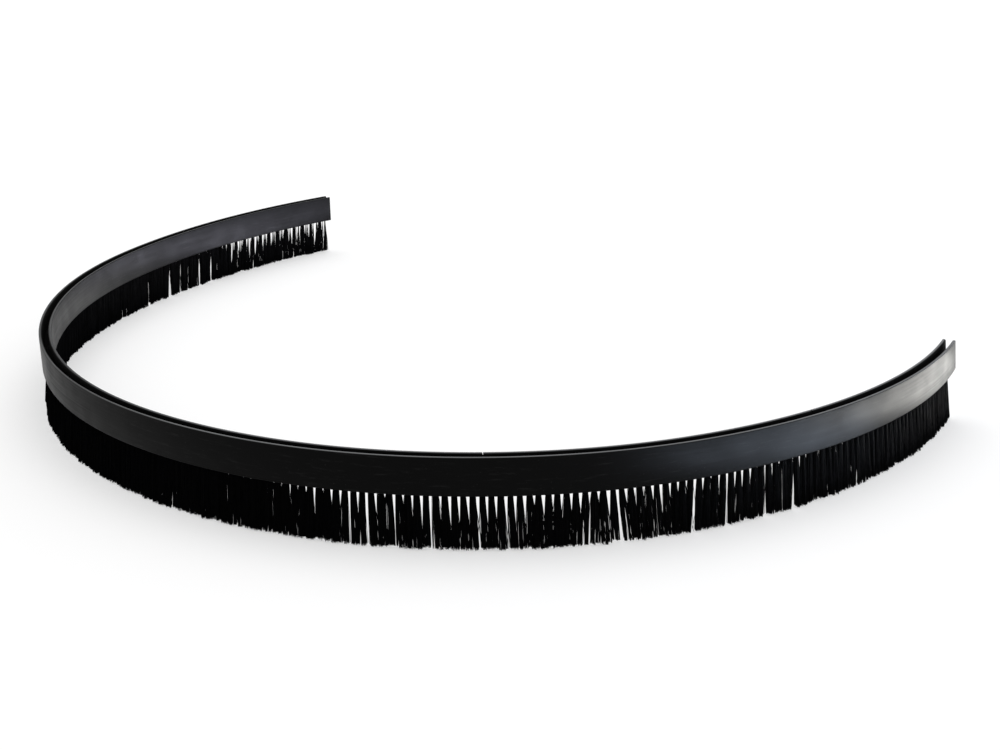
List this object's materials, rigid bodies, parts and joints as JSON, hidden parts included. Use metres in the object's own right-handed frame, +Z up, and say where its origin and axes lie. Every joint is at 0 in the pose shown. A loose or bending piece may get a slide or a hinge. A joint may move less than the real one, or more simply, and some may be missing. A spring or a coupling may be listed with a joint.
{
  "type": "brush strip",
  "caption": "Flexible black brush strip curled into a C, with a clip-on groove above and one row of bristle tufts below.",
  "frame": {"origin": "on the floor, under the middle of the strip's bounding box", "axes": "+Z up, +Y away from the viewer of the picture along the longer side of the bounding box, +X to the viewer's right"},
  "size_m": [0.5006, 0.5352, 0.043],
  "materials": {
    "strip_plastic": "satin",
    "bristles": "satin"
  },
  "bodies": {
    "root": {"channel_body": "strip_plastic", "bristle_tufts_01": "bristles", "bristle_tufts_02": "bristles", "bristle_tufts_03": "bristles", "bristle_tufts_04": "bristles", "bristle_tufts_05": "bristles", "bristle_tufts_06": "bristles", "bristle_tufts_07": "bristles", "bristle_tufts_08": "bristles", "bristle_tufts_09": "bristles", "bristle_tufts_10": "bristles"}
  },
  "joints": []
}
